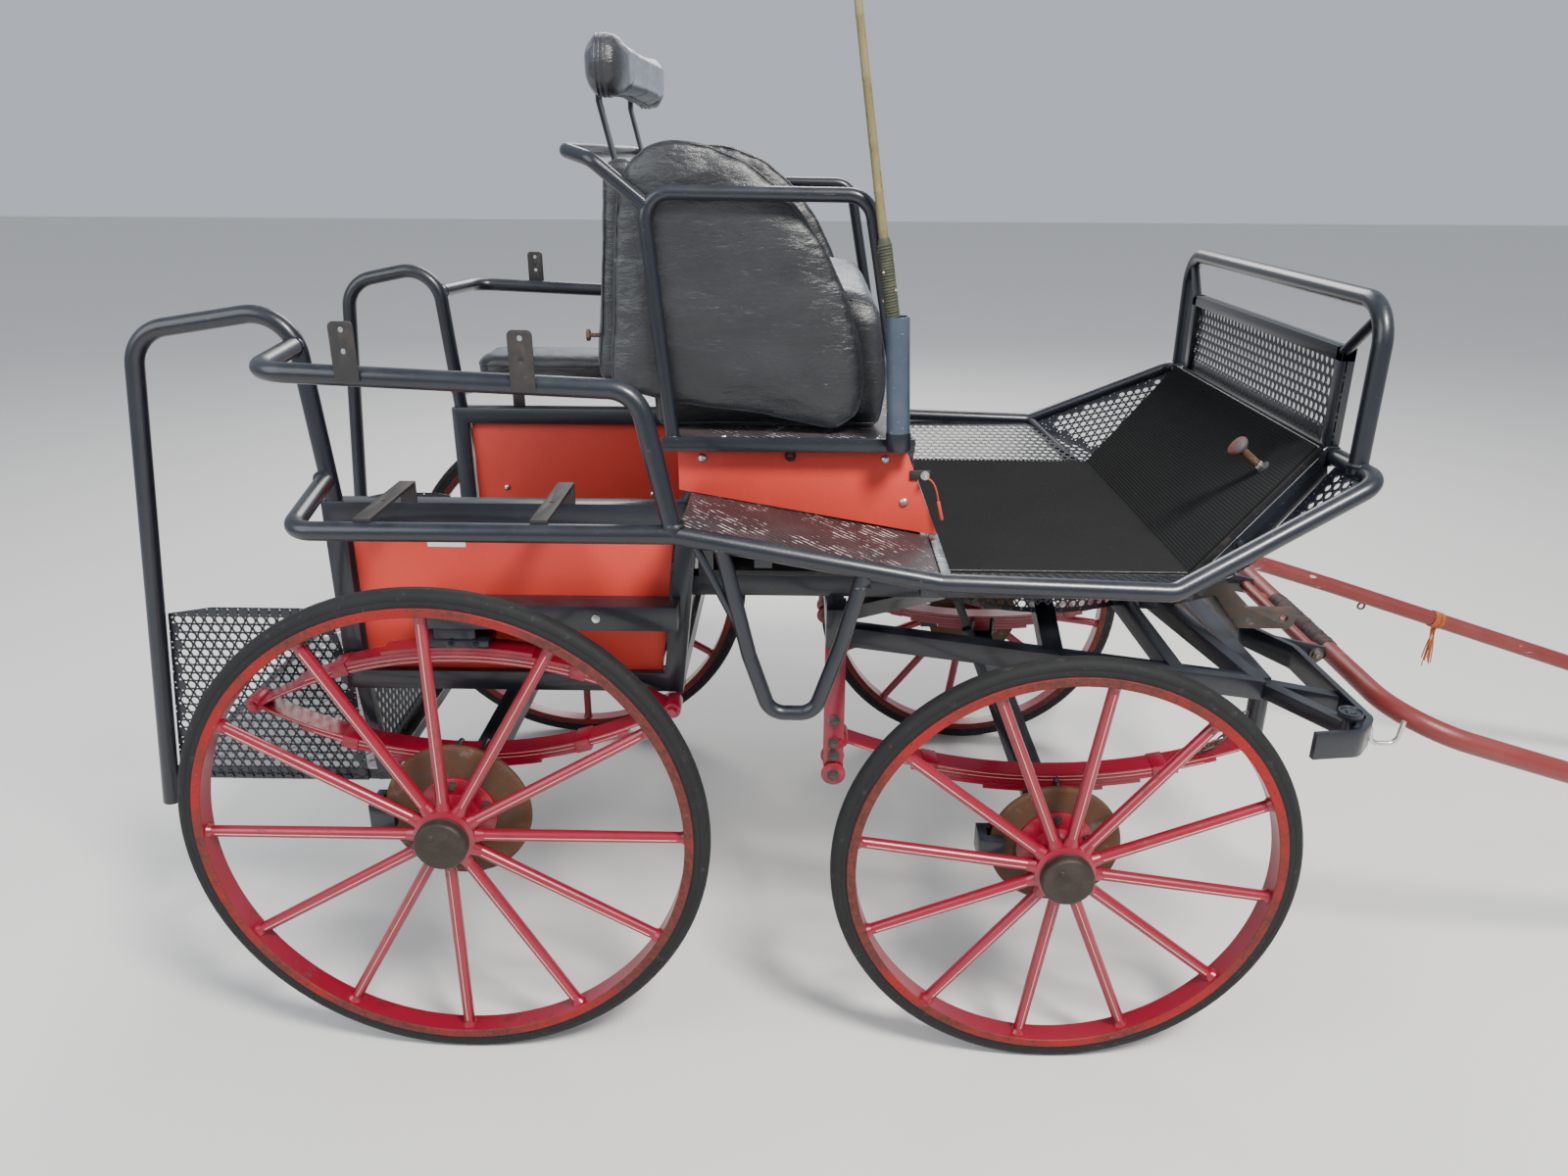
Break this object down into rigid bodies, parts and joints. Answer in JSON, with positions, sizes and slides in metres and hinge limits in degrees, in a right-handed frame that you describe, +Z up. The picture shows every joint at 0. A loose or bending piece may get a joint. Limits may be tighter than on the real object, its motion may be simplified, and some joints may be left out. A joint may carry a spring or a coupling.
{
  "type": "horse drawn carriage",
  "caption": "Four-wheeled horse drawn carriage: steerable fore-carriage, spoked wheels, open tub body with a driver's seat, and a hinged pair of shafts resting on the ground.",
  "frame": {"origin": "on the ground below the middle of the whole length, shafts included", "axes": "+X forward to the shafts' tips, +Y to the left, +Z up"},
  "size_m": [4.7005, 1.422, 2.6778],
  "materials": {
    "black_paint": "semi-gloss, scuffed",
    "red_panel": "satin",
    "wheel_red": "gloss",
    "shaft_red": "satin, chipped",
    "tyre_rubber": "matt, worn",
    "rusty_iron": "rusty, matt",
    "bare_steel": "dull",
    "board": "scratched, dark",
    "ribbed_rubber": "fine ribs, matt",
    "vinyl": "satin, creased",
    "whip_stick": "satin",
    "grey_socket": "satin"
  },
  "bodies": {
    "body": {"rear_frame": "black_paint", "handles": "black_paint", "upper_rails": "black_paint", "side_rails": "black_paint", "head_bar": "black_paint", "seat_legs": "black_paint", "outriggers": "black_paint", "step_frame": "black_paint", "step_screens": "black_paint", "step_loops": "black_paint", "floor_frame": "black_paint", "wings": "black_paint", "dash_hoop": "black_paint", "dash_screen": "black_paint", "seat_riser": "black_paint", "seat_plate": "black_paint", "arm_rail": "black_paint", "back_bars": "black_paint", "turntable_ring": "black_paint", "rear_axle": "black_paint", "cushion_brackets": "black_paint", "side_panels": "red_panel", "seat_cheeks": "red_panel", "rear_floor": "board", "footboard": "board", "running_boards": "board", "step_tread": "bare_steel", "floor_mat": "ribbed_rubber", "rail_plates": "bare_steel", "brake_pedal": "rusty_iron", "brake_lever": "red_panel", "seat_sides": "vinyl", "seat_cushion": "vinyl", "seat_back": "vinyl", "back_pad": "vinyl", "rear_cushion": "vinyl", "whip": "whip_stick", "whip_socket": "grey_socket", "rear_springs": "wheel_red"},
    "fore_carriage": {"fore_frame": "black_paint", "ring_skirt": "black_paint", "splinter_bar": "black_paint", "pole_lugs": "rusty_iron", "trace_hooks": "bare_steel", "front_axle": "black_paint", "front_springs": "wheel_red", "spring_hangers": "wheel_red"},
    "shafts": {"shafts": "shaft_red"},
    "rear_right_wheel": {"rear_wheel_right": "wheel_red", "rear_tyre_right": "tyre_rubber", "rear_hub_irons_right": "rusty_iron"},
    "rear_left_wheel": {"rear_wheel_left": "wheel_red", "rear_tyre_left": "tyre_rubber", "rear_hub_irons_left": "rusty_iron"},
    "front_right_wheel": {"front_wheel_right": "wheel_red", "front_tyre_right": "tyre_rubber", "front_hub_irons_right": "rusty_iron"},
    "front_left_wheel": {"front_wheel_left": "wheel_red", "front_tyre_left": "tyre_rubber", "front_hub_irons_left": "rusty_iron"}
  },
  "joints": [
    {"name": "steering", "type": "hinge", "parent": "body", "child": "fore_carriage", "pos_m": [-0.49348, 0, 0.85], "axis": [0, 0, 1], "range_deg": [-40, 40]},
    {"name": "rear_right_wheel_spin", "type": "hinge", "parent": "body", "child": "rear_right_wheel", "pos_m": [-1.66148, -0.663, 0.5], "axis": [0, 1, 0], "continuous": true},
    {"name": "rear_left_wheel_spin", "type": "hinge", "parent": "body", "child": "rear_left_wheel", "pos_m": [-1.66148, 0.663, 0.5], "axis": [0, 1, 0], "continuous": true},
    {"name": "front_right_wheel_spin", "type": "hinge", "parent": "fore_carriage", "child": "front_right_wheel", "pos_m": [-0.49348, -0.663, 0.442], "axis": [0, 1, 0], "continuous": true},
    {"name": "front_left_wheel_spin", "type": "hinge", "parent": "fore_carriage", "child": "front_left_wheel", "pos_m": [-0.49348, 0.663, 0.442], "axis": [0, 1, 0], "continuous": true},
    {"name": "shaft_lift", "type": "hinge", "parent": "fore_carriage", "child": "shafts", "pos_m": [0.12852, 0, 0.69], "axis": [0, -1, 0], "range_deg": [0, 35]}
  ]
}
